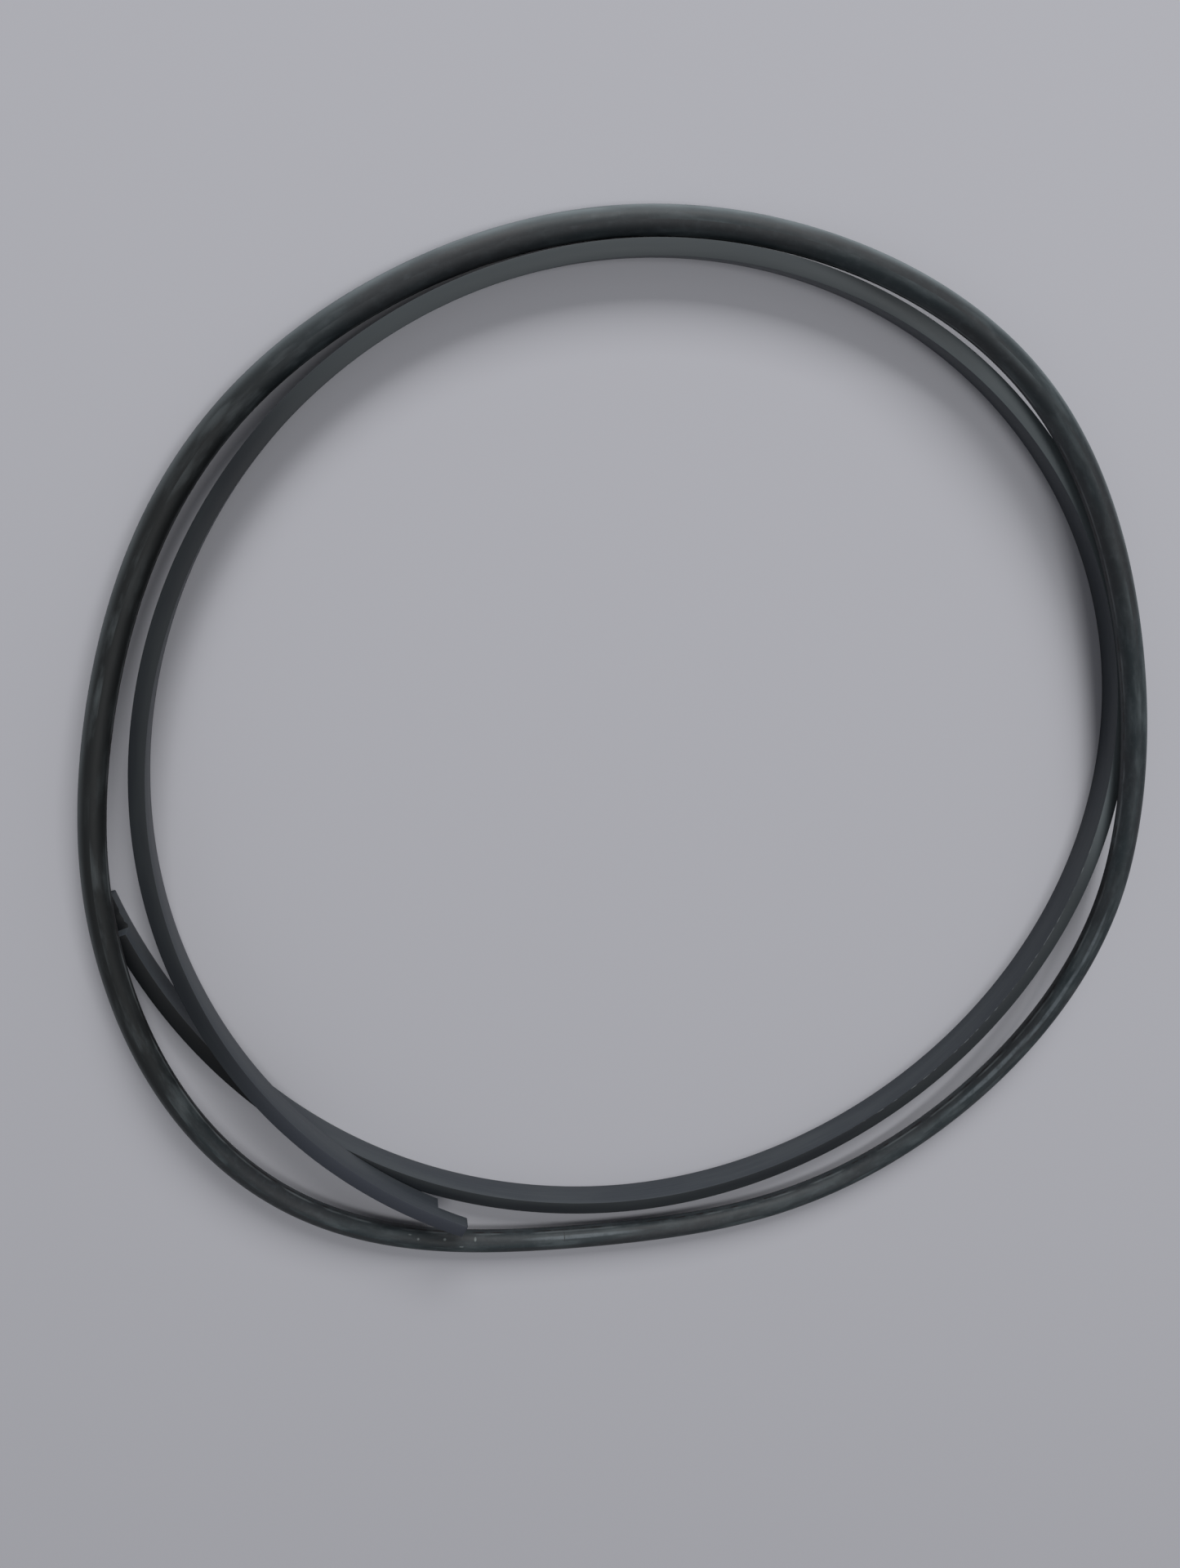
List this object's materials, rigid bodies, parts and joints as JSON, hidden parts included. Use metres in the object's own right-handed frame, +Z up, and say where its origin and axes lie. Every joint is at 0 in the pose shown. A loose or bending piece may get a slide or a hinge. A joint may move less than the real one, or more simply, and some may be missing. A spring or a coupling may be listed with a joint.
{
  "type": "piston seal",
  "caption": "Loose piston seal: a coiled, step-cut plastic slide ring inside a limp rubber load ring.",
  "frame": {"origin": "on the floor, in the middle of the load ring's outline", "axes": "+Z up, along the axis of both rings; +X towards the side where the load ring lies on top of the coil"},
  "size_m": [0.2946, 0.3017, 0.0163],
  "materials": {
    "load_rubber": "matt moulded rubber with a smeared bloom",
    "slide_plastic": "satin machined filled plastic"
  },
  "bodies": {
    "root": {"load_ring": "load_rubber", "slide_ring": "slide_plastic"}
  },
  "joints": []
}
